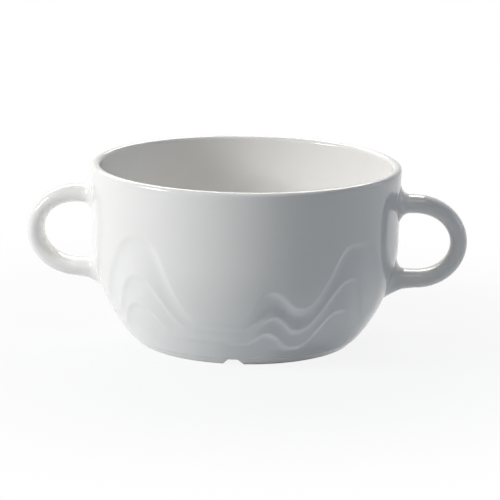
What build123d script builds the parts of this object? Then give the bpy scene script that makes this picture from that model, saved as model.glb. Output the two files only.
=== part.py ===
"""Two-handled porcelain soup bowl, in millimetres.

The bowl stands on Z = 0 with its axis on Z. The lugs lie along X, and the front faces -Y.
The body is formed with a wave relief on its lower wall, and each lug is luted to it at two roots.
"""
from build123d import *
from math import atan2, cos, pi, radians, sin, sqrt
import os

os.makedirs("parts", exist_ok=True)

# ---- Body ---------------------------------------------------------------------------------
body_height = 60.4          # rest plane to the crest of the lip
wall_diameter = 104.4       # over the upright wall, just above the shoulder
rim_flare = 0.4             # how far the wall opens out from there to the rim, on each side
shoulder_height = 35.3      # where the belly has turned into the upright wall
belly_rise = 1.95           # exponents of the belly curve: a larger rise fills its lower part,
belly_fullness = 1.08       # and a larger fullness steepens its start
wall_thickness = 3.8        # upright wall and belly, before the relief is taken from it
lip_thickness = 3.1         # across the rounded lip
lip_flat = 0.5              # the narrow crest that the lip's two rounds leave between them
floor_thickness = 5.0       # from the foot joint up to the inside floor
floor_round = 14.0          # height and reach of the round between floor and inner wall

# ---- Foot ring ----------------------------------------------------------------------------
foot_height = 2.6           # height of the unglazed ring
foot_diameter = 74.0        # ground face, outer edge
foot_ground_width = 5.0     # ground face, across the ring
foot_flare = 2.7            # how far the ring's outer side widens up to the belly
foot_draft = 1.2            # how far its inner side leans inward over its height
foot_edge = 0.4             # bevels beside the ground face
base_hollow = 0.8           # how far the underside is arched up within the ring
notch_count = 4             # drainage notches
notch_mouth = 7.0           # width of a notch at the rest plane
notch_crown = 3.2           # width of its top
notch_roof = 0.4            # what is left of the ring above it

# ---- Lugs ---------------------------------------------------------------------------------
handle_reach = 23.1         # upright wall to the outermost point of a lug
handle_drop = 12.3          # crest of the lip down to the centre line of the top run
handle_loop = 25.8          # between the centre lines of the top and bottom runs
handle_turn = 14.4          # how far the oval turn stands out from the two runs
handle_thickness = 5.8      # strap seen from the front
handle_width = 9.6          # strap seen from above
root_swell = 0.7            # added to the strap's thickness where the turn meets the runs
root_width = 13.0           # both roots, seen from the end
top_root_height = 11.6      # upper root on the wall
bottom_root_height = 10.6   # lower root, level with the upright wall
bottom_root_spread = 16.8   # and its full height, where it has run on down the belly
root_burial = 1.2           # how far the last section of a root lies inside the outer surface

# ---- Wave relief --------------------------------------------------------------------------
relief_height = 40.0        # foot joint up to the highest crest
relief_depth = 0.70         # step at each wave line
relief_swell = 0.50         # extra depth around the small crest
swell_azimuth = 21.0        # middle of that deeper stretch, in degrees
swell_span = 24.0           # and its half width
relief_margin = 3.0         # from that crest up to where the wall is plain
step_rise = 1.2             # from a wave line, square to it, up to where its step starts
step_fall = 2.6             # and down to where it ends
roomy_gap = 7.0             # lines nearer to each other than this step in less
foot_fade = 3.0             # the relief dies out over this height above the foot ring
handle_fade_start = 18.0    # degrees from a lug's middle where the relief is gone
handle_fade_end = 34.0      # and where it has its full depth

# A wave line is a chain of level stretches, joined by half cosine flanks. Each stretch is
# (from azimuth, to azimuth, height as a share of relief_height). Azimuths run from the front,
# -Y, towards +X, and the pattern repeats every half turn.
upper_wave = [(-39.5, -33.0, 1.00), (-13.0, 4.8, 0.34), (13.8, 15.0, 0.66),
              (26.7, 28.2, 0.50), (46.5, 53.0, 0.97), (79.0, 114.0, 0.38)]
middle_wave = [(-38.5, -36.5, 0.67), (-17.0, 5.0, 0.23), (15.2, 16.6, 0.365),
               (25.5, 27.5, 0.29), (46.0, 48.0, 0.68), (63.0, 122.0, 0.27)]
lower_wave = [(-40.5, -37.5, 0.425), (-23.5, 6.0, 0.14), (15.0, 16.0, 0.26),
              (26.0, 29.0, 0.125), (43.0, 46.0, 0.41), (60.0, 122.0, 0.17)]

# ---- Fineness of the surfaces -------------------------------------------------------------
points_round = 240          # points on a section of the relief
traces_each = 3             # and of a wave line between two of them
foot_spans = 3              # spans of the wall from the foot joint up to the lowest step
layer_spans = 2             # from the top of a step up to the next one
shoulder_spans = 8          # from the highest step up to the plain wall
plain_spans = 2             # of the plain wall
lip_spans = 4               # of each of the lip's rounds
wall_spans = 4              # of the inner wall, from the lip down to the floor's round
floor_spans = 5             # of that round
root_spans = 7              # of a lug's root
turn_spans = 10             # of a lug's turn
cut_clearance = 1.0         # how far a form that is cut away reaches past what it cuts

# ---- Derived sizes ------------------------------------------------------------------------
wall_radius = wall_diameter / 2
foot_radius = foot_diameter / 2
joint_radius = foot_radius + foot_flare
hollow_radius = foot_radius - foot_ground_width - foot_draft
lip_round = (lip_thickness - lip_flat) / 2
lip_start = body_height - lip_round
floor_height = foot_height + floor_thickness
relief_top = foot_height + relief_height + relief_margin
trace_step = 360.0 / (points_round * traces_each)
half_turn = 180.0


def blend(t):
    """Half cosine from 0 to 1."""
    return 0.5 - 0.5 * cos(pi * min(max(t, 0.0), 1.0))


def smooth_radius(z):
    """Outer radius of the body without its relief."""
    if z >= shoulder_height:
        share = (z - shoulder_height) / (body_height - shoulder_height)
        return wall_radius + rim_flare * share ** 2
    t = max((z - foot_height) / (shoulder_height - foot_height), 0.0)
    fullness = (1 - (1 - t) ** belly_rise) ** (1 / belly_fullness)
    return joint_radius + (wall_radius - joint_radius) * fullness


def wave_height(line, azimuth):
    """Height of a wave line at an azimuth."""
    first = line[0][0]
    a = first + (azimuth - first) % half_turn
    chain = line + [(first + half_turn, first + half_turn, line[0][2])]
    for (_, end, share), (next_start, _, next_share) in zip(chain, chain[1:]):
        if a < next_start:
            t = blend((a - end) / (next_start - end))
            return foot_height + relief_height * (share + (next_share - share) * t)
    return foot_height + relief_height * line[0][2]


def traced(line):
    """Heights of a wave line at even steps of azimuth, once round."""
    return [wave_height(line, i * trace_step) for i in range(points_round * traces_each)]


def level(height):
    """The same for a horizontal line."""
    return [height] * (points_round * traces_each)


def between(low, high, share):
    """Line a share of the way up from one line to another."""
    return [z + (up - z) * share for z, up in zip(low, high)]


def parallel(heights, offset):
    """Line square above another at a distance, or below it where that is negative."""
    per_step = radians(trace_step) * wall_radius
    reach = int(abs(offset) / per_step)
    side = 1 if offset > 0 else -1
    line = []
    for i in range(len(heights)):
        line.append(side * max(
            side * heights[(i + j) % len(heights)] + sqrt(offset ** 2 - (j * per_step) ** 2)
            for j in range(-reach, reach + 1)))
    return line


def relief_depth_at(azimuth, z, gap):
    """How far the wall lies inside its smooth outline at the foot of a step.

    A step is shallower where the wave lines run close together, and dies out at the lugs.
    """
    off_swell = abs((azimuth - swell_azimuth + 90) % half_turn - 90)
    depth = relief_depth + relief_swell * blend(1 - off_swell / swell_span)
    off_handle = abs(azimuth % half_turn - 90)
    depth *= blend((off_handle - handle_fade_start) / (handle_fade_end - handle_fade_start))
    return depth * blend((z - foot_height) / foot_fade) * min(gap / roomy_gap, 1.0)


def relief_section(heights, share, gaps):
    """Closed section that follows a line, inside the smooth outline by a share of the step."""
    points = []
    for i in range(0, points_round * traces_each, traces_each):
        azimuth = i * trace_step
        z = heights[i]
        r = smooth_radius(z) - share * relief_depth_at(azimuth, z, gaps[i])
        points.append((r * sin(radians(azimuth)), -r * cos(radians(azimuth)), z))
    steps = [i / points_round for i in range(points_round + 1)]
    return Wire(Edge.make_spline(points, periodic=True, parameters=steps))


def relief_sections():
    """Sections up the relief: out along the top of each step, and in along its foot."""
    sections = []
    low, spans = level(foot_height), foot_spans
    for wave in (lower_wave, middle_wave, upper_wave):
        line = traced(wave)
        gaps = [up - z for z, up in zip(low, line)]
        fallen = parallel(line, -step_fall)
        foot = [max(z, middle) for z, middle in zip(fallen, between(low, line, 0.5))]
        for i in range(1, spans + 1):
            sections.append(relief_section(between(low, foot, i / spans), i / spans, gaps))
        low, spans = parallel(line, step_rise), layer_spans
        sections.append(relief_section(low, 0, gaps))
    top = level(relief_top)
    for i in range(1, shoulder_spans):
        sections.append(relief_section(between(low, top, i / shoulder_spans), 0, gaps))
    return sections


def plain_section(r, z):
    """Round horizontal section, starting from the front like the others."""
    return Wire(Edge.make_circle(r, Plane(origin=(0, 0, z), x_dir=(0, -1, 0), z_dir=(0, 0, 1))))


def quarter_round(spans):
    """Shares of a round's radius, (inward, upward), from its side to its top."""
    angles = [pi / 2 * i / spans for i in range(spans + 1)]
    return [(1 - cos(angle), sin(angle)) for angle in angles]


def outer_solid():
    """Solid within the body's outer surface, from the foot joint to the crest of the lip."""
    sections = [plain_section(joint_radius, foot_height)] + relief_sections()
    for i in range(plain_spans):
        z = relief_top + (lip_start - relief_top) * i / plain_spans
        sections.append(plain_section(smooth_radius(z), z))
    for inward, upward in quarter_round(lip_spans):
        r = smooth_radius(lip_start) - lip_round * inward
        sections.append(plain_section(r, lip_start + lip_round * upward))
    return Solid.make_loft(sections, ruled=True)


def cavity():
    """The inside of the bowl, open through the lip: a turned form without relief."""
    lip_radius = smooth_radius(lip_start) - lip_thickness
    outline = [(0, body_height + cut_clearance)]
    outline.append((lip_radius + lip_round, body_height + cut_clearance))
    for inward, upward in reversed(quarter_round(lip_spans)):
        outline.append((lip_radius + lip_round * inward, lip_start + lip_round * upward))
    round_top = floor_height + floor_round
    for i in range(1, wall_spans + 1):
        share = i / wall_spans
        z = lip_start + (round_top - lip_start) * share
        thickness = lip_thickness + (wall_thickness - lip_thickness) * blend(2 * share)
        outline.append((smooth_radius(z) - thickness, z))
    wall_foot = outline[-1][0]
    for inward, upward in quarter_round(floor_spans)[1:]:
        outline.append((wall_foot - floor_round * inward, round_top - floor_round * upward))
    outline.append((0, floor_height))
    return revolve(Plane.XZ * make_face(Polyline(*outline, close=True)), Axis.Z)


def bowl_body(outer):
    """The formed body: outer surface with its relief, inside, lip and arched underside."""
    arch = Solid.make_cone(hollow_radius, 0, base_hollow, Plane(origin=(0, 0, foot_height)))
    return outer - cavity() - arch


def foot_ring():
    """Unglazed ring under the body, with drainage notches across it."""
    ground_inner = foot_radius - foot_ground_width
    section = make_face(Polyline((ground_inner, 0), (foot_radius, 0), (joint_radius, foot_height),
                                 (hollow_radius, foot_height), close=True))
    section = chamfer(section.vertices().group_by(Axis.Y)[0], foot_edge)
    ring = revolve(Plane.XZ * section, Axis.Z)
    notch_top = foot_height - notch_roof
    mouth, crown = notch_mouth / 2, notch_crown / 2
    below = -cut_clearance
    notch_face = make_face(Polyline((-mouth, below), (-mouth, 0), (-crown, notch_top),
                                    (crown, notch_top), (mouth, 0), (mouth, below), close=True))
    notch = extrude(Plane.XZ * notch_face, joint_radius + cut_clearance)
    for i in range(notch_count):
        ring -= Rot(0, 0, 360 * i / notch_count) * notch
    return ring


def strap_section(x, z, angle, thickness, width):
    """Oval across the strap, whose centre line runs at an angle above +X there."""
    run = (cos(angle), 0, sin(angle))
    across = (-sin(angle), 0, cos(angle))
    plane = Plane(origin=(x, 0, z), x_dir=across, z_dir=run)
    return plane * Ellipse(thickness / 2, width / 2)


def root_sections(turn_x, z, angle, height):
    """Ovals from inside the wall out to the turn, flaring towards the wall."""
    start = wall_radius - root_burial
    thickness = handle_thickness + root_swell
    sections = []
    for i in range(root_spans):
        out = i / root_spans
        flare = (1 - out) ** 3
        sections.append(strap_section(start + (turn_x - start) * out, z, angle,
                                      thickness + (height - thickness) * flare,
                                      handle_width + (root_width - handle_width) * flare))
    return sections


def lug(outer):
    """The lug on the +X side: root, oval turn and root, trimmed by the body."""
    top = body_height - handle_drop
    middle = top - handle_loop / 2
    bottom = middle - handle_loop / 2
    turn_x = wall_radius + handle_reach - handle_thickness / 2 - handle_turn
    low_edge = bottom - bottom_root_spread / 2
    sections = root_sections(turn_x, top, 0, top_root_height)
    for i in range(turn_spans + 1):
        turned = pi / 2 - pi * i / turn_spans
        x = turn_x + handle_turn * cos(turned)
        z = middle + handle_loop / 2 * sin(turned)
        angle = atan2(-handle_loop / 2 * cos(turned), handle_turn * sin(turned))
        thickness = handle_thickness + root_swell * sin(turned) ** 6
        sections.append(strap_section(x, z, angle, thickness, handle_width))
    sections += reversed(root_sections(turn_x, bottom, pi, bottom_root_height))
    sections.append(strap_section(smooth_radius(low_edge) - root_burial, bottom, pi,
                                  bottom_root_spread, root_width))
    return loft(sections, ruled=True) - outer


outer = outer_solid()
right_lug = lug(outer)
pieces = {
    "bowl_body": bowl_body(outer),
    "foot_ring": foot_ring(),
    "handle_right": right_lug,
    "handle_left": Rot(0, 0, half_turn) * right_lug,
}
for name, piece in pieces.items():
    export_step(piece, f"parts/{name}.step")
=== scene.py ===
"""Two-handled soup bowl of glazed porcelain, with a moulded wave relief and a notched foot ring.

Everything is in metres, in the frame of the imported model: the bowl stands on Z = 0 with its
axis on Z, the lugs lie along X, and the front faces -Y. Azimuths run from the front towards +X.
"""
from math import cos, pi, radians, sin, sqrt

import bpy
from mathutils import Matrix, Vector


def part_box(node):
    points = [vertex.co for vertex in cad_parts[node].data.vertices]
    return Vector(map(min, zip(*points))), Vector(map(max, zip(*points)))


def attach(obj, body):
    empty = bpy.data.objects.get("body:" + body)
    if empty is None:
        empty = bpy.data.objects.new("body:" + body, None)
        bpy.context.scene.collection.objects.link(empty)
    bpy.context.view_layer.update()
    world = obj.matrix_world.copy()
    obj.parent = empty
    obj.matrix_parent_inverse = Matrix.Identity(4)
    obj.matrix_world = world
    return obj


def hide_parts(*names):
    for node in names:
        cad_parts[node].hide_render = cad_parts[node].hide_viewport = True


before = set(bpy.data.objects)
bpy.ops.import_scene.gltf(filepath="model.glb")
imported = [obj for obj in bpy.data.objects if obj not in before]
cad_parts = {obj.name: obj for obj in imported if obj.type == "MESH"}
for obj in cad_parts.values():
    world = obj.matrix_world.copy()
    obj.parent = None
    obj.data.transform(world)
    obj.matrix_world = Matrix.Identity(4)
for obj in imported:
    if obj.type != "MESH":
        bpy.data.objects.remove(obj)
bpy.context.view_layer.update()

MM = 0.001

# ---- Sizes taken from the frame --------------------------------------------------------------
body_low, body_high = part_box("bowl_body")
foot_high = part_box("foot_ring")[1]
lug_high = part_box("handle_right")[1]
body_height = body_high[2]          # rest plane to the crest of the lip
rim_radius = body_high[0]           # widest point, just under the lip's round
foot_height = body_low[2]           # height of the foot ring
joint_radius = foot_high[0]         # where the belly meets the foot ring
lug_reach = lug_high[0]             # outermost point of a lug

# ---- Body ------------------------------------------------------------------------------------
rim_flare = 0.4 * MM                # opening of the upright wall, from the shoulder to the rim
shoulder_height = 35.3 * MM
belly_rise = 1.95                   # exponents of the belly curve
belly_fullness = 1.08
wall_thickness = 3.8 * MM
lip_thickness = 3.1 * MM
lip_flat = 0.5 * MM                 # between the lip's two rounds
floor_thickness = 5.0 * MM
floor_round = 14.0 * MM             # between the inner wall and the floor
hollow_radius = 30.8 * MM           # underside within the foot ring
base_hollow = 0.8 * MM              # how far the underside is arched up
glaze_roll = 0.25 * MM              # round of the glaze where it stops above the foot

# ---- Foot ring -------------------------------------------------------------------------------
foot_flare = 2.7 * MM
foot_ground_width = 5.0 * MM
foot_edge = 0.5 * MM                # rounds beside the ground face
notch_count = 4
notch_mouth = 7.0 * MM
notch_crown = 3.2 * MM
notch_roof = 0.4 * MM               # ring left above a notch
notch_soften = 0.35 * MM            # glaze softens the notch's edges over this width

# ---- Lugs ------------------------------------------------------------------------------------
lug_top = 48.1 * MM                 # height of the centre line of the top run
lug_loop = 25.8 * MM                # between the centre lines of the runs
lug_turn = 14.4 * MM                # how far the oval turn stands out from them
lug_thickness = 5.8 * MM
lug_width = 9.6 * MM
lug_swell = 0.3 * MM                # added to the thickness where the turn meets the runs
lug_swell_power = 6                 # a larger power keeps that swell nearer to the runs
lug_squareness = 2.25               # of the strap's section: 2 is an ellipse, more is squarer
lug_seat = 0.35 * MM                # how far a root's last ring lies under the wall's surface

# Flares of the roots: (growth at the wall, how far out it reaches, power of its curve).
outer_flare_high = (3.0 * MM, 4.6 * MM, 4.2)
outer_flare_low = (4.1 * MM, 7.0 * MM, 1.6)
inner_flare = (3.4 * MM, 4.6 * MM, 3.5)
side_flare = (2.4 * MM, 4.6 * MM, 3.5)

# ---- Wave relief -----------------------------------------------------------------------------
relief_height = 40.0 * MM           # the lines' heights are shares of this, above the foot ring
relief_depth = 0.45 * MM
relief_swell = 1.25 * MM            # extra depth around the small crest
swell_azimuth = 25.0
swell_span = 32.0                   # degrees to each side over which it fades
step_widths = {"lower": 1.9 * MM, "middle": 2.0 * MM, "upper": 3.1 * MM}  # down from the line
step_shares = {"lower": 0.75, "middle": 0.75, "upper": 1.0}     # of the full depth
step_ease = 2.2                     # a larger power makes a step steeper under its edge
rise_ease = 1.6                     # and keeps a hollow flat for longer before the next line
roomy_gap = 7.0 * MM                # a step is shallower where the next line is nearer than this
foot_fade = 3.0 * MM                # height over which the relief grows above the foot ring
lug_fade_start = 18.0               # degrees from a lug's middle
lug_fade_end = 34.0
half_turn = 180.0                   # the relief repeats after this many degrees

# Level stretches of each wave line: (from azimuth, to azimuth, share of relief_height).
lower_wave = [(-40.5, -37.5, 0.425), (-23.5, 6.0, 0.175), (13.4, 14.6, 0.258),
              (26.0, 29.0, 0.112), (43.0, 46.0, 0.41), (60.0, 122.0, 0.18)]
middle_wave = [(-38.5, -36.5, 0.68), (-17.0, 5.0, 0.28), (16.4, 17.4, 0.410),
               (26.2, 27.2, 0.272), (46.0, 48.0, 0.68), (63.0, 122.0, 0.28)]
upper_wave = [(-39.5, -33.0, 1.00), (-13.0, 4.4, 0.35), (14.3, 15.4, 0.630),
              (26.7, 28.0, 0.472), (46.5, 53.0, 0.97), (79.0, 114.0, 0.38)]
wave_lines = {"lower": lower_wave, "middle": middle_wave, "upper": upper_wave}

# ---- Derived ---------------------------------------------------------------------------------
lip_round = (lip_thickness - lip_flat) / 2
lip_start = body_height - lip_round
floor_height = foot_height + floor_thickness
rim_share = (lip_start - shoulder_height) / (body_height - shoulder_height)  # of the flare's height
wall_radius = rim_radius - rim_flare * rim_share ** 2
foot_radius = joint_radius - foot_flare
notch_spacing = 360 / notch_count

# ---- Fineness of the meshes ------------------------------------------------------------------
columns_round = 480                 # 0.7 mm apart on the wall, about a third of a narrow step
wall_rows = 104                     # 0.55 mm apart in height
underside_rows = 8
joint_rows = 4                      # over the foot ring's top
roll_shares = (0.3, 0.6, 0.85)      # of the quarter turn in which the glaze rolls under
lip_rows = 9                        # in each of the lip's two rounds
inside_rows = 26
floor_round_rows = 17
floor_rows = 6
pole_ring = 4.0 * MM                # radius of the first ring round a pole
line_points = 720                   # of a traced wave line

notch_zone = 8.0                    # degrees to each side of a notch's middle, finely divided
notch_columns = 81
plain_columns = 38                  # between two such zones
edge_rows = 6                       # on each side and round of the ring's section
flank_rows = 8
ring_top_rows = 5
ring_sharp_angle = 35               # degrees: the ring's edges that are sharper stay sharp

points_across = 56                  # round a lug's section
turn_rings = 44
# How far out from the wall's surface the rings of a root lie.
root_gaps = [gap * MM for gap in (0.0, 0.25, 0.55, 0.95, 1.45, 2.1, 2.9, 3.8, 4.8)]


# ---- Small helpers ---------------------------------------------------------------------------
def blend(t):
    """Half cosine from 0 to 1."""
    return 0.5 - 0.5 * cos(pi * min(max(t, 0.0), 1.0))


def spaced(start, end, count):
    """Values from start to end in even steps, both included."""
    return [start + (end - start) * i / (count - 1) for i in range(count)]


def at_azimuth(r, azimuth, z):
    """Point at a distance from the axis, an azimuth in degrees and a height."""
    return (r * sin(radians(azimuth)), -r * cos(radians(azimuth)), z)


def smooth_radius(z):
    """Outer radius of the body without its relief."""
    if z >= shoulder_height:
        share = (z - shoulder_height) / (body_height - shoulder_height)
        return wall_radius + rim_flare * share ** 2
    t = max((z - foot_height) / (shoulder_height - foot_height), 0.0)
    fullness = (1 - (1 - t) ** belly_rise) ** (1 / belly_fullness)
    return joint_radius + (wall_radius - joint_radius) * fullness


def wave_height(line, azimuth):
    """Height of a wave line at an azimuth; it repeats every half turn."""
    first = line[0][0]
    a = first + (azimuth - first) % half_turn
    chain = line + [(first + half_turn, first + half_turn, line[0][2])]
    for (_, end, share), (next_start, _, next_share) in zip(chain, chain[1:]):
        if a < next_start:
            break
    t = blend((a - end) / (next_start - end))
    return foot_height + relief_height * (share + (next_share - share) * t)


def step_depth(azimuth, z):
    """Depth of a full step: more around the small crest, none at the lugs and at the foot."""
    quarter = half_turn / 2         # the lugs' middles are this far from the front and the back
    off_swell = abs((azimuth - swell_azimuth + quarter) % half_turn - quarter)
    depth = relief_depth + relief_swell * blend(1 - off_swell / swell_span)
    off_lug = abs(azimuth % half_turn - quarter)
    depth *= blend((off_lug - lug_fade_start) / (lug_fade_end - lug_fade_start))
    return depth * blend((z - foot_height) / foot_fade)


def mesh_object(name, points, faces, smooth_angle=None):
    """New object at the origin with this mesh, shaded smooth up to an angle in degrees."""
    mesh = bpy.data.meshes.new(name)
    mesh.from_pydata(points, [], faces)
    mesh.validate()
    mesh.shade_smooth()
    if smooth_angle:
        mesh.set_sharp_from_angle(angle=radians(smooth_angle))
    piece = bpy.data.objects.new(name, mesh)
    bpy.context.collection.objects.link(piece)
    return piece


def skin(rows):
    """Faces between closed rows of point numbers. A row of one point is a pole."""
    faces = []
    for row, following in zip(rows, rows[1:]):
        count = max(len(row), len(following))
        for i in range(count):
            j = (i + 1) % count
            if len(row) == 1:
                faces.append((row[0], following[j], following[i]))
            elif len(following) == 1:
                faces.append((row[i], row[j], following[0]))
            else:
                faces.append((row[i], row[j], following[j], following[i]))
    return faces


def turned(profile, azimuths, height_at=None):
    """Points and rows of a profile turned round Z. A point on the axis is a pole.

    The profile runs so that the solid lies on its left when seen from the front with +X right.
    Where height_at is given, it says how high each point comes to lie.
    """
    points, rows = [], []
    for r, z in profile:
        first = len(points)
        for azimuth in azimuths if r > 0.0 else [0.0]:
            points.append(at_azimuth(r, azimuth, height_at(r, azimuth, z) if height_at else z))
        rows.append(list(range(first, len(points))))
    return points, rows


def add(tree, kind, settings=None, inputs=None):
    """Adds a node. An input is a value, or an output socket that is linked to it."""
    node = tree.nodes.new(kind)
    for name, value in (settings or {}).items():
        setattr(node, name, value)
    for key, value in (inputs or {}).items():
        socket = node.inputs[key]
        if isinstance(value, bpy.types.NodeSocket):
            tree.links.new(value, socket)
        else:
            socket.default_value = value
    return node


def colour(hex_value):
    """Linear RGBA of an sRGB hex value."""
    channels = []
    for start in (1, 3, 5):
        c = int(hex_value[start:start + 2], 16) / 255
        channels.append(c / 12.92 if c <= 0.04045 else ((c + 0.055) / 1.055) ** 2.4)
    return (*channels, 1.0)


# ---- Materials -------------------------------------------------------------------------------
glaze_stop = 0.42 * MM              # height up to which the foot is wiped bare
glaze_full = 0.60 * MM              # and from which its glaze is whole
glaze_wander = 0.12 * MM            # how far that edge strays up and down


def new_material(name):
    """New material whose node tree is empty, and that tree."""
    material = bpy.data.materials.new(name)
    material.use_nodes = True
    material.node_tree.nodes.clear()
    return material, material.node_tree


def per_mm(size_mm):
    """Texture scale, in cells per metre, of a pattern whose cells are that many mm wide."""
    return 1.0 / (size_mm * MM)


def glazed_porcelain():
    """White hard porcelain under a clear fired glaze.

    The glaze has levelled out to a sharp gloss with a faint long ripple. It is a touch cooler
    where it pooled in the hollows of the relief, and the body under it scatters light a little.
    """
    material, tree = new_material("glazed_porcelain")
    place = add(tree, "ShaderNodeTexCoord").outputs["Object"]
    cloud = add(tree, "ShaderNodeTexNoise", {}, {
        "Vector": place, "Scale": per_mm(38.0), "Detail": 2.0, "Roughness": 0.5})
    pool = add(tree, "ShaderNodeAttribute", {"attribute_name": "glaze_pool"})
    tone = add(tree, "ShaderNodeMix", {"data_type": "RGBA"}, {
        "Factor": cloud.outputs["Fac"], "A": colour("#F3F2F0"), "B": colour("#F7F6F4")})
    pooled = add(tree, "ShaderNodeMix", {"data_type": "RGBA"}, {
        "Factor": pool.outputs["Fac"], "A": tone.outputs["Result"], "B": colour("#F0F1F1")})
    ripple = add(tree, "ShaderNodeTexNoise", {}, {
        "Vector": place, "Scale": per_mm(9.0), "Detail": 1.0, "Roughness": 0.4})
    wave = add(tree, "ShaderNodeBump", {}, {
        "Strength": 0.10, "Distance": 0.06 * MM, "Height": ripple.outputs["Fac"]})
    surface = add(tree, "ShaderNodeBsdfPrincipled", {"subsurface_method": "RANDOM_WALK"}, {
        "Base Color": pooled.outputs["Result"], "Roughness": 0.07, "IOR": 1.5,
        "Subsurface Weight": 0.12, "Subsurface Radius": (1.0, 0.9, 0.8),
        "Subsurface Scale": 0.8 * MM, "Normal": wave.outputs["Normal"]})
    add(tree, "ShaderNodeOutputMaterial", {}, {"Surface": surface.outputs["BSDF"]})
    return material


def foot_porcelain():
    """The same porcelain at the foot: glazed on its flank, wiped and ground bare where it stands.

    The bare ground face is matt, a little warmer, and finely grained.
    """
    material, tree = new_material("bare_porcelain_foot")
    place = add(tree, "ShaderNodeTexCoord").outputs["Object"]
    height = add(tree, "ShaderNodeSeparateXYZ", {}, {"Vector": place}).outputs["Z"]
    wander = add(tree, "ShaderNodeTexNoise", {}, {
        "Vector": place, "Scale": per_mm(3.0), "Detail": 2.0}).outputs["Fac"]
    edge = add(tree, "ShaderNodeMapRange", {}, {
        "Value": wander, "From Min": 0.0, "From Max": 1.0,
        "To Min": -glaze_wander, "To Max": glaze_wander}).outputs["Result"]
    line = add(tree, "ShaderNodeMath", {"operation": "ADD"}, {0: height, 1: edge})
    glazed = add(tree, "ShaderNodeMapRange", {}, {
        "Value": line.outputs["Value"], "From Min": glaze_stop, "From Max": glaze_full})
    grain = add(tree, "ShaderNodeTexNoise", {}, {
        "Vector": place, "Scale": per_mm(0.4), "Detail": 3.0, "Roughness": 0.7}).outputs["Fac"]
    bare = add(tree, "ShaderNodeMix", {"data_type": "RGBA"}, {
        "Factor": grain, "A": colour("#DEDAD2"), "B": colour("#EAE7E0")})
    tone = add(tree, "ShaderNodeMix", {"data_type": "RGBA"}, {
        "Factor": glazed.outputs["Result"], "A": bare.outputs["Result"], "B": colour("#F2F1EE")})
    rough = add(tree, "ShaderNodeMapRange", {}, {
        "Value": glazed.outputs["Result"], "To Min": 0.62, "To Max": 0.09})
    tooth = add(tree, "ShaderNodeMath", {"operation": "MULTIPLY_ADD"}, {
        0: glazed.outputs["Result"], 1: -1.0, 2: 1.0})
    bump = add(tree, "ShaderNodeBump", {}, {
        "Strength": tooth.outputs["Value"], "Distance": 0.03 * MM, "Height": grain})
    surface = add(tree, "ShaderNodeBsdfPrincipled", {}, {
        "Base Color": tone.outputs["Result"], "Roughness": rough.outputs["Result"], "IOR": 1.5,
        "Normal": bump.outputs["Normal"]})
    add(tree, "ShaderNodeOutputMaterial", {}, {"Surface": surface.outputs["BSDF"]})
    return material


# ---- Body: its section -----------------------------------------------------------------------
def underside_section():
    """From the middle of the arched underside to where the glaze stops above the foot."""
    arch_radius = (hollow_radius ** 2 + base_hollow ** 2) / (2 * base_hollow)
    arch_centre = foot_height + base_hollow - arch_radius
    section = [(0.0, foot_height + base_hollow)]
    for r in spaced(pole_ring, hollow_radius, underside_rows):
        section.append((r, arch_centre + sqrt(arch_radius ** 2 - r ** 2)))
    for r in spaced(hollow_radius, joint_radius - glaze_roll, joint_rows)[1:]:
        section.append((r, foot_height))
    return section


def glaze_roll_section():
    """The round of the glaze, from the underside up to the first row of the wall."""
    roll_start = joint_radius - glaze_roll
    roll_reach = smooth_radius(foot_height + glaze_roll) - joint_radius + glaze_roll
    section = []
    for share in roll_shares:
        angle = pi / 2 * share
        section.append((roll_start + roll_reach * sin(angle),
                        foot_height + glaze_roll * (1 - cos(angle))))
    return section


def lip_section():
    """Over the lip, from the top of the outer wall to the top of the inner one."""
    outer = smooth_radius(lip_start)
    inner = outer - lip_thickness
    section = []
    for angle in spaced(0.0, pi / 2, lip_rows)[1:]:
        section.append((outer - lip_round * (1 - cos(angle)), lip_start + lip_round * sin(angle)))
    for angle in spaced(pi / 2, 0.0, lip_rows):
        section.append((inner + lip_round * (1 - cos(angle)), lip_start + lip_round * sin(angle)))
    return section


def inside_section():
    """Down the inner wall and round to the middle of the floor."""
    round_top = floor_height + floor_round
    section = []
    for z in spaced(lip_start, round_top, inside_rows)[1:]:
        share = (lip_start - z) / (lip_start - round_top)
        thickness = lip_thickness + (wall_thickness - lip_thickness) * blend(2 * share)
        section.append((smooth_radius(z) - thickness, z))
    wall_foot = section[-1][0]
    for angle in spaced(0.0, pi / 2, floor_round_rows)[1:]:
        section.append((wall_foot - floor_round * (1 - cos(angle)),
                        round_top - floor_round * sin(angle)))
    for r in spaced(wall_foot - floor_round, pole_ring, floor_rows)[1:]:
        section.append((r, floor_height))
    section.append((0.0, floor_height))
    return section


def body_profile():
    """The whole section of the body, and the numbers of the rows that are its outer wall."""
    start = underside_section() + glaze_roll_section()
    wall = [(smooth_radius(z), z) for z in spaced(foot_height + glaze_roll, lip_start, wall_rows)]
    profile = start + wall + lip_section() + inside_section()
    return profile, range(len(start), len(start) + len(wall))


# ---- Body: its relief ------------------------------------------------------------------------
def smooth_body():
    """The body without its relief, with what the relief needs stored on its points."""
    profile, wall = body_profile()
    azimuths = [360.0 * i / columns_round for i in range(columns_round)]
    points, rows = turned(profile, azimuths)
    body = mesh_object("porcelain_body", points, skin(rows))
    values = {"step_depth": [0.0] * len(points)}
    for number in wall:
        for azimuth, point in zip(azimuths, rows[number]):
            values["step_depth"][point] = step_depth(azimuth, profile[number][1])
    for name, line in wave_lines.items():
        heights = [wave_height(line, azimuth) for azimuth in azimuths]
        values[name] = [0.0] * len(points)
        for number in wall:
            for height, point in zip(heights, rows[number]):
                values[name][point] = height
    for name, column in values.items():
        body.data.attributes.new(name, "FLOAT", "POINT").data.foreach_set("value", column)
    return body


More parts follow.
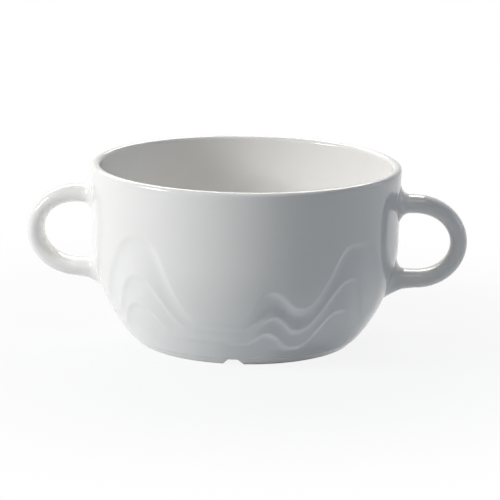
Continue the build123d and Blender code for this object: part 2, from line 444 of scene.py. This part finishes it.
def traced(name, line):
    """A wave line as a closed chain of edges on the smooth wall."""
    points = []
    for i in range(line_points):
        azimuth = 360.0 * i / line_points
        z = wave_height(line, azimuth)
        points.append(at_azimuth(smooth_radius(z), azimuth, z))
    mesh = bpy.data.meshes.new(name)
    mesh.from_pydata(points, [(i, (i + 1) % line_points) for i in range(line_points)], [])
    chain = bpy.data.objects.new(name, mesh)
    bpy.context.collection.objects.link(chain)
    return chain


def new_tree(name, inputs, outputs):
    """Geometry node group with these (name, kind) sockets. Returns it, its inputs and output."""
    tree = bpy.data.node_groups.new(name, "GeometryNodeTree")
    for label, kind in inputs:
        tree.interface.new_socket(label, in_out="INPUT", socket_type=kind)
    for label, kind in outputs:
        tree.interface.new_socket(label, in_out="OUTPUT", socket_type=kind)
    return tree, add(tree, "NodeGroupInput").outputs, add(tree, "NodeGroupOutput").inputs


def below_line_tree():
    """How far a point lies below a wave line, square to it: negative above the line."""
    tree, given, result = new_tree("below_wave_line", [
        ("Wave line", "NodeSocketObject"), ("Line height", "NodeSocketFloat")],
        [("Down", "NodeSocketFloat")])
    chain = add(tree, "GeometryNodeObjectInfo", {"transform_space": "ORIGINAL"},
                {"Object": given["Wave line"]})
    near = add(tree, "GeometryNodeProximity", {"target_element": "EDGES"},
               {0: chain.outputs["Geometry"]})
    place = add(tree, "GeometryNodeInputPosition").outputs["Position"]
    z = add(tree, "ShaderNodeSeparateXYZ", {}, {"Vector": place}).outputs["Z"]
    under = add(tree, "ShaderNodeMath", {"operation": "SUBTRACT"},
                {0: given["Line height"], 1: z})
    side = add(tree, "ShaderNodeMath", {"operation": "SIGN"}, {0: under.outputs["Value"]})
    down = add(tree, "ShaderNodeMath", {"operation": "MULTIPLY"}, {
        0: side.outputs["Value"], 1: near.outputs["Distance"]})
    tree.links.new(down.outputs["Value"], result["Down"])
    return tree


def step_tree():
    """Share of the full depth: in across the step, steep at first, then out to the next line."""
    tree, given, result = new_tree("wave_step", [
        ("Down", "NodeSocketFloat"), ("Ahead", "NodeSocketFloat"),
        ("Step width", "NodeSocketFloat"), ("Roomy gap", "NodeSocketFloat"),
        ("Step ease", "NodeSocketFloat"), ("Rise ease", "NodeSocketFloat")],
        [("Share", "NodeSocketFloat")])
    gap = add(tree, "ShaderNodeMath", {"operation": "ADD"},
              {0: given["Down"], 1: given["Ahead"]}).outputs["Value"]
    half = add(tree, "ShaderNodeMath", {"operation": "MULTIPLY"}, {0: gap, 1: 0.5})
    width = add(tree, "ShaderNodeMath", {"operation": "MINIMUM"}, {
        0: given["Step width"], 1: half.outputs["Value"]}).outputs["Value"]
    unstepped = add(tree, "ShaderNodeMapRange", {}, {
        "Value": given["Down"], "From Min": 0.0, "From Max": width, "To Min": 1.0, "To Max": 0.0})
    remaining = add(tree, "ShaderNodeMath", {"operation": "POWER"}, {
        0: unstepped.outputs["Result"], 1: given["Step ease"]})
    into = add(tree, "ShaderNodeMath", {"operation": "SUBTRACT"}, {
        0: 1.0, 1: remaining.outputs["Value"]})
    past = add(tree, "ShaderNodeMapRange", {}, {
        "Value": given["Down"], "From Min": width, "From Max": gap})
    risen = add(tree, "ShaderNodeMath", {"operation": "POWER"}, {
        0: past.outputs["Result"], 1: given["Rise ease"]})
    out = add(tree, "ShaderNodeMath", {"operation": "SUBTRACT"}, {
        0: 1.0, 1: risen.outputs["Value"]})
    room = add(tree, "ShaderNodeMath", {"operation": "DIVIDE", "use_clamp": True}, {
        0: gap, 1: given["Roomy gap"]})
    step = add(tree, "ShaderNodeMath", {"operation": "MULTIPLY"}, {
        0: into.outputs["Value"], 1: out.outputs["Value"]})
    share = add(tree, "ShaderNodeMath", {"operation": "MULTIPLY"}, {
        0: step.outputs["Value"], 1: room.outputs["Value"]})
    tree.links.new(share.outputs["Value"], result["Share"])
    return tree


def relief_tree():
    """Steps the wall in below each wave line, and marks where glaze pools."""
    sockets = [("Body", "NodeSocketGeometry"), ("Finish", "NodeSocketMaterial")]
    for label in ("Foot height", "Full depth", "Roomy gap", "Step ease", "Rise ease"):
        sockets.append((label, "NodeSocketFloat"))
    for name in wave_lines:
        sockets.append((name, "NodeSocketObject"))
        sockets.append((name + " width", "NodeSocketFloat"))
        sockets.append((name + " share", "NodeSocketFloat"))
    tree, given, result = new_tree("wave_relief", sockets, [("Body", "NodeSocketGeometry")])
    below_line, step = below_line_tree(), step_tree()
    place = add(tree, "GeometryNodeInputPosition").outputs["Position"]
    z = add(tree, "ShaderNodeSeparateXYZ", {}, {"Vector": place}).outputs["Z"]
    above_foot = add(tree, "ShaderNodeMath", {"operation": "SUBTRACT"},
                     {0: z, 1: given["Foot height"]}).outputs["Value"]
    total, ahead = 0.0, above_foot
    for name in wave_lines:         # from the foot up: a step ends at the line before, or the foot
        height = add(tree, "GeometryNodeInputNamedAttribute", {"data_type": "FLOAT"},
                     {"Name": name}).outputs["Attribute"]
        down = add(tree, "GeometryNodeGroup", {"node_tree": below_line}, {
            "Wave line": given[name], "Line height": height}).outputs["Down"]
        share = add(tree, "GeometryNodeGroup", {"node_tree": step}, {
            "Down": down, "Ahead": ahead, "Step width": given[name + " width"],
            "Roomy gap": given["Roomy gap"], "Step ease": given["Step ease"],
            "Rise ease": given["Rise ease"]}).outputs["Share"]
        total = add(tree, "ShaderNodeMath", {"operation": "MULTIPLY_ADD"}, {
            0: share, 1: given[name + " share"], 2: total}).outputs["Value"]
        ahead = add(tree, "ShaderNodeMath", {"operation": "MULTIPLY"},
                    {0: down, 1: -1.0}).outputs["Value"]
    depth = add(tree, "GeometryNodeInputNamedAttribute", {"data_type": "FLOAT"},
                {"Name": "step_depth"}).outputs["Attribute"]
    inward = add(tree, "ShaderNodeMath", {"operation": "MULTIPLY"},
                 {0: total, 1: depth}).outputs["Value"]
    flat = add(tree, "ShaderNodeVectorMath", {"operation": "MULTIPLY"},
               {0: place, 1: (-1.0, -1.0, 0.0)})
    to_axis = add(tree, "ShaderNodeVectorMath", {"operation": "NORMALIZE"},
                  {0: flat.outputs["Vector"]})
    offset = add(tree, "ShaderNodeVectorMath", {"operation": "SCALE"},
                 {0: to_axis.outputs["Vector"], "Scale": inward})
    pool = add(tree, "ShaderNodeMath", {"operation": "DIVIDE"},
               {0: inward, 1: given["Full depth"]}).outputs["Value"]
    marked = add(tree, "GeometryNodeStoreNamedAttribute",
                 {"data_type": "FLOAT", "domain": "POINT"},
                 {"Geometry": given["Body"], "Name": "glaze_pool", "Value": pool})
    moved = add(tree, "GeometryNodeSetPosition", {}, {
        "Geometry": marked.outputs["Geometry"], "Offset": offset.outputs["Vector"]})
    real = add(tree, "GeometryNodeRealizeInstances", {},
               {"Geometry": moved.outputs["Geometry"]})
    finished = add(tree, "GeometryNodeSetMaterial", {}, {
        "Geometry": real.outputs["Geometry"], "Material": given["Finish"]})
    tree.links.new(finished.outputs["Geometry"], result["Body"])
    return tree


def porcelain_body(finish):
    """The body with its moulded relief, as a plain mesh."""
    body = smooth_body()
    chains = {name: traced(name, line) for name, line in wave_lines.items()}
    given = {"Finish": finish, "Foot height": foot_height, "Roomy gap": roomy_gap,
             "Full depth": relief_depth + relief_swell, "Step ease": step_ease,
             "Rise ease": rise_ease, **chains}
    for name in wave_lines:
        given[name + " width"] = step_widths[name]
        given[name + " share"] = step_shares[name]
    relief = body.modifiers.new("wave_relief", "NODES")
    relief.node_group = relief_tree()
    for socket in relief.node_group.interface.items_tree:
        if socket.in_out == "INPUT" and socket.name in given:
            relief[socket.identifier] = given[socket.name]
    shaped = body.evaluated_get(bpy.context.evaluated_depsgraph_get())
    mesh = bpy.data.meshes.new_from_object(shaped)
    body.modifiers.clear()
    body.data = mesh
    mesh.name = "porcelain_body"
    for name in [*wave_lines, "step_depth"]:
        mesh.attributes.remove(mesh.attributes[name])
    for chain in chains.values():
        bpy.data.objects.remove(chain)
    return body


# ---- Foot ring -------------------------------------------------------------------------------
def soft_corner(share, soft):
    """The larger of 0 and share, with the corner between them rounded over soft."""
    if share <= -soft:
        return 0.0
    if share >= soft:
        return share
    return (share + soft) ** 2 / (4 * soft)


def notch_lift(r, azimuth):
    """Height of the ring's underside at a place: 0, or the roof of a notch."""
    off = (azimuth + notch_spacing / 2) % notch_spacing - notch_spacing / 2
    sideways = r * abs(sin(radians(off)))
    slope = (notch_mouth - notch_crown) / 2
    share = (notch_mouth / 2 - sideways) / slope
    soft = notch_soften / slope
    rising = soft_corner(share, soft)
    return (foot_height - notch_roof) * (1 - soft_corner(1 - rising, soft))


def notched_height(r, azimuth, z):
    """Height of a point of the ring once the notches are taken out."""
    return max(z, notch_lift(r, azimuth))


def ring_section():
    """Section of the ring, from its inner top edge down, out and up, and back over its top."""
    ground_inner = foot_radius - foot_ground_width
    corners = [Vector((hollow_radius, foot_height)), Vector((ground_inner, 0.0)),
               Vector((foot_radius, 0.0)), Vector((joint_radius, foot_height))]
    steps = spaced(0.0, 1.0, edge_rows)[1:]
    section = [corners[0]]
    for before, corner, after in zip(corners, corners[1:], corners[2:]):
        start = corner + (before - corner).normalized() * foot_edge
        end = corner + (after - corner).normalized() * foot_edge
        side = section[-1]
        section += [side.lerp(start, t) for t in steps]
        section += [start.lerp(corner, t).lerp(corner.lerp(end, t), t) for t in steps]
    side = section[-1]
    section += [side.lerp(corners[-1], t) for t in spaced(0.0, 1.0, flank_rows)[1:]]
    section += [(r, foot_height) for r in spaced(joint_radius, hollow_radius, ring_top_rows)[1:-1]]
    return section


def foot_ring(finish):
    """The ring that the bowl stands on, with four drainage notches."""
    azimuths = []
    for i in range(notch_count):
        middle = notch_spacing * i
        next_zone = notch_spacing - notch_zone
        azimuths += [middle + a for a in spaced(-notch_zone, notch_zone, notch_columns)]
        azimuths += [middle + a for a in spaced(notch_zone, next_zone, plain_columns)[1:-1]]
    points, rows = turned(ring_section(), azimuths, notched_height)
    ring = mesh_object("bare_foot_ring", points, skin(rows + rows[:1]), ring_sharp_angle)
    ring.data.materials.append(finish)
    return ring


# ---- Lugs ------------------------------------------------------------------------------------
def oval(v):
    """Point of the strap's section, (outward, across), as shares of its half sizes."""
    c, s = cos(v), sin(v)
    power = 2 / lug_squareness
    return (abs(c) ** power * (1 if c > 0 else -1), abs(s) ** power * (1 if s > 0 else -1))


lug_section = [oval(2 * pi * i / points_across) for i in range(points_across)]


def flared(half, flare, d):
    """Half size of a root at a distance from the wall, grown by a flare."""
    growth, reach, power = flare
    return half + growth * max(1 - max(d, 0.0) / reach, 0.0) ** power


def root_ring(d, centre, outward_z, outer_flare):
    """Ring of a root at a distance from the wall's surface. outward_z is 1 on the upper root."""
    half = (lug_thickness + lug_swell) / 2
    outer_half = flared(half, outer_flare, d)
    inner_half = flared(half, inner_flare, d)
    half_width = flared(lug_width / 2, side_flare, d)
    ring = []
    for outward, across in lug_section:
        z = centre + outward_z * outward * (outer_half if outward > 0 else inner_half)
        y = across * half_width
        surface = smooth_radius(z) + d
        ring.append((sqrt(surface ** 2 - y ** 2), y, z))
    return ring


def turn_ring(a):
    """Ring of the oval turn, at an angle that runs from a quarter turn down to minus that."""
    turn_x = lug_reach - lug_thickness / 2 - lug_turn
    middle = lug_top - lug_loop / 2
    centre = Vector((turn_x + lug_turn * cos(a), 0, middle + lug_loop / 2 * sin(a)))
    outward_axis = Vector((cos(a) * lug_loop / 2, 0, sin(a) * lug_turn)).normalized()
    half = (lug_thickness + lug_swell * sin(a) ** lug_swell_power) / 2
    ring = []
    for outward, across in lug_section:
        sideways = Vector((0, across * lug_width / 2, 0))
        ring.append(tuple(centre + outward_axis * outward * half + sideways))
    return ring


def lug_rings():
    """Rings from the upper root round the turn to the lower root."""
    gaps = [-lug_seat] + root_gaps
    rings = [root_ring(d, lug_top, 1, outer_flare_high) for d in gaps]
    rings += [turn_ring(pi / 2 - pi * i / turn_rings) for i in range(turn_rings + 1)]
    rings += [root_ring(d, lug_top - lug_loop, -1, outer_flare_low) for d in reversed(gaps)]
    return rings


def lug(name, turn, finish):
    """A lug, closed inside the wall at both roots."""
    rings = lug_rings()
    to_its_side = Matrix.Rotation(turn, 3, "Z")
    points = [to_its_side @ Vector(point) for ring in rings for point in ring]
    rows = [list(range(i * points_across, (i + 1) * points_across)) for i in range(len(rings))]
    caps = [tuple(reversed(rows[0])), tuple(rows[-1])]
    piece = mesh_object(name, points, skin(rows) + caps)
    piece.data.materials.append(finish)
    return piece


# ---- Stage -----------------------------------------------------------------------------------
sweep_half = 3.0
sweep_drop = 0.02 * MM              # a hair below the ground face, never in one plane with it
sweep_near_white = 0.88             # share of plain white in the paper close to the bowl
sweep_fade_start = 0.06             # distances from the axis over which it turns plain white
sweep_fade_end = 0.18


def background_rays(tree):
    """1 for rays that see the background: from the camera, mirrored by gloss or through glass."""
    rays = add(tree, "ShaderNodeLightPath").outputs
    seen = add(tree, "ShaderNodeMath", {"operation": "MAXIMUM"},
               {0: rays["Is Camera Ray"], 1: rays["Is Glossy Ray"]})
    shown = add(tree, "ShaderNodeMath", {"operation": "MAXIMUM"},
                {0: seen.outputs["Value"], 1: rays["Is Transmission Ray"]})
    return shown.outputs["Value"]


def floor_material():
    """White paper sweep: it fades to plain white away from the bowl and keeps its shadow."""
    material, tree = new_material("white_paper")
    place = add(tree, "ShaderNodeTexCoord").outputs["Object"]
    away = add(tree, "ShaderNodeVectorMath", {"operation": "LENGTH"}, {0: place}).outputs["Value"]
    far = add(tree, "ShaderNodeMapRange", {"interpolation_type": "SMOOTHSTEP"}, {
        "Value": away, "From Min": sweep_fade_start, "From Max": sweep_fade_end,
        "To Min": sweep_near_white, "To Max": 1.0})
    factor = add(tree, "ShaderNodeMath", {"operation": "MULTIPLY"},
                 {0: background_rays(tree), 1: far.outputs["Result"]})
    paper = add(tree, "ShaderNodeBsdfDiffuse", {}, {"Color": colour("#E2E6EA")})
    white = add(tree, "ShaderNodeEmission", {}, {"Color": (1, 1, 1, 1), "Strength": 1.0})
    mixed = add(tree, "ShaderNodeMixShader", {}, {
        0: factor.outputs["Value"], 1: paper.outputs["BSDF"], 2: white.outputs["Emission"]})
    add(tree, "ShaderNodeOutputMaterial", {}, {"Surface": mixed.outputs["Shader"]})
    return material


def white_floor():
    """The sheet of paper under the bowl."""
    half, z = sweep_half, -sweep_drop
    floor = mesh_object("floor", [(-half, -half, z), (half, -half, z), (half, half, z),
                                  (-half, half, z)], [(0, 1, 2, 3)])
    floor.data.materials.append(floor_material())


def surroundings():
    """White where the camera or the gloss looks past the bowl, else a dim and cool studio."""
    world = bpy.data.worlds.new("studio")
    bpy.context.scene.world = world
    world.use_nodes = True
    tree = world.node_tree
    tree.nodes.clear()
    dim = add(tree, "ShaderNodeBackground", {}, {"Color": colour("#BCD6F4"), "Strength": 0.05})
    white = add(tree, "ShaderNodeBackground", {}, {"Color": (1, 1, 1, 1), "Strength": 1.0})
    mixed = add(tree, "ShaderNodeMixShader", {}, {
        0: background_rays(tree), 1: dim.outputs["Background"], 2: white.outputs["Background"]})
    add(tree, "ShaderNodeOutputWorld", {}, {"Surface": mixed.outputs["Shader"]})


# ---- Camera ----------------------------------------------------------------------------------
# The place and the lens were fitted to the bowl's outline in the photograph.
view_azimuth = 5.0
view_elevation = 13.205
view_distance = 0.72433
view_target = (0.001638, 0.000143, 0.02996)
view_roll = 0.934
sensor_width = 36.0
frame_pixels = 500.0
focal_pixels = 2118.95              # focal length, in pixels of that frame


def photograph_camera():
    """Camera that sees the bowl from the photograph's side, in its frame."""
    lens = bpy.data.cameras.new("camera")
    lens.sensor_width = sensor_width
    lens.lens = focal_pixels * sensor_width / frame_pixels
    camera = bpy.data.objects.new("camera", lens)
    back = Vector(at_azimuth(cos(radians(view_elevation)), view_azimuth,
                             sin(radians(view_elevation))))
    place = Matrix.Translation(Vector(view_target) + back * view_distance)
    turn = back.to_track_quat("Z", "Y").to_matrix().to_4x4()
    camera.matrix_world = place @ turn @ Matrix.Rotation(radians(view_roll), 4, "Z")
    bpy.context.collection.objects.link(camera)
    bpy.context.scene.camera = camera


# ---- Lamps -----------------------------------------------------------------------------------
lamp_distance = 1.1
window = (0.40, 0.40)
panel = (0.50, 0.42)

# (name, azimuth from the camera's, elevation, width and height, watts, tint)
lamps = [("window_left", -72, 24.0, window, 8.2, "#FFFFFD"),
         ("window_behind", -150, 33.0, panel, 3.2, "#FFF4E4"),
         ("back", 180, 33.0, panel, 3.8, "#FFF8EE"),
         ("overhead", 10, 80.0, panel, 1.8, "#F8FBFF"),
         ("fill_right", 105, 20.0, panel, 0.9, "#D6E6FA")]


def softbox(name, azimuth, elevation, size, watts, tint):
    """Rectangular lamp round the bowl, turned to its middle."""
    lamp = bpy.data.lights.new(name, "AREA")
    lamp.shape = "RECTANGLE"
    lamp.size, lamp.size_y = size
    lamp.energy = watts
    lamp.color = colour(tint)[:3]
    box = bpy.data.objects.new(name, lamp)
    middle = Vector((0, 0, body_height / 2))
    out = Vector(at_azimuth(cos(radians(elevation)), azimuth, sin(radians(elevation))))
    box.location = middle + out * lamp_distance
    box.rotation_euler = (-out).to_track_quat("-Z", "Y").to_euler()
    bpy.context.collection.objects.link(box)


# ---- Making the scene ------------------------------------------------------------------------
glaze = glazed_porcelain()
made = [
    (porcelain_body(glaze), "bowl_body", "glazed_porcelain"),
    (lug("lug_right", 0.0, glaze), "handle_right", "glazed_porcelain"),
    (lug("lug_left", pi, glaze), "handle_left", "glazed_porcelain"),
    (foot_ring(foot_porcelain()), "foot_ring", "bare_porcelain"),
]
for piece, node, slot in made:
    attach(piece, "root")
    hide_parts(node)

white_floor()
surroundings()
for name, off_camera, elevation, size, watts, tint in lamps:
    softbox(name, view_azimuth + off_camera, elevation, size, watts, tint)
photograph_camera()
bpy.context.scene.view_settings.view_transform = "Standard"
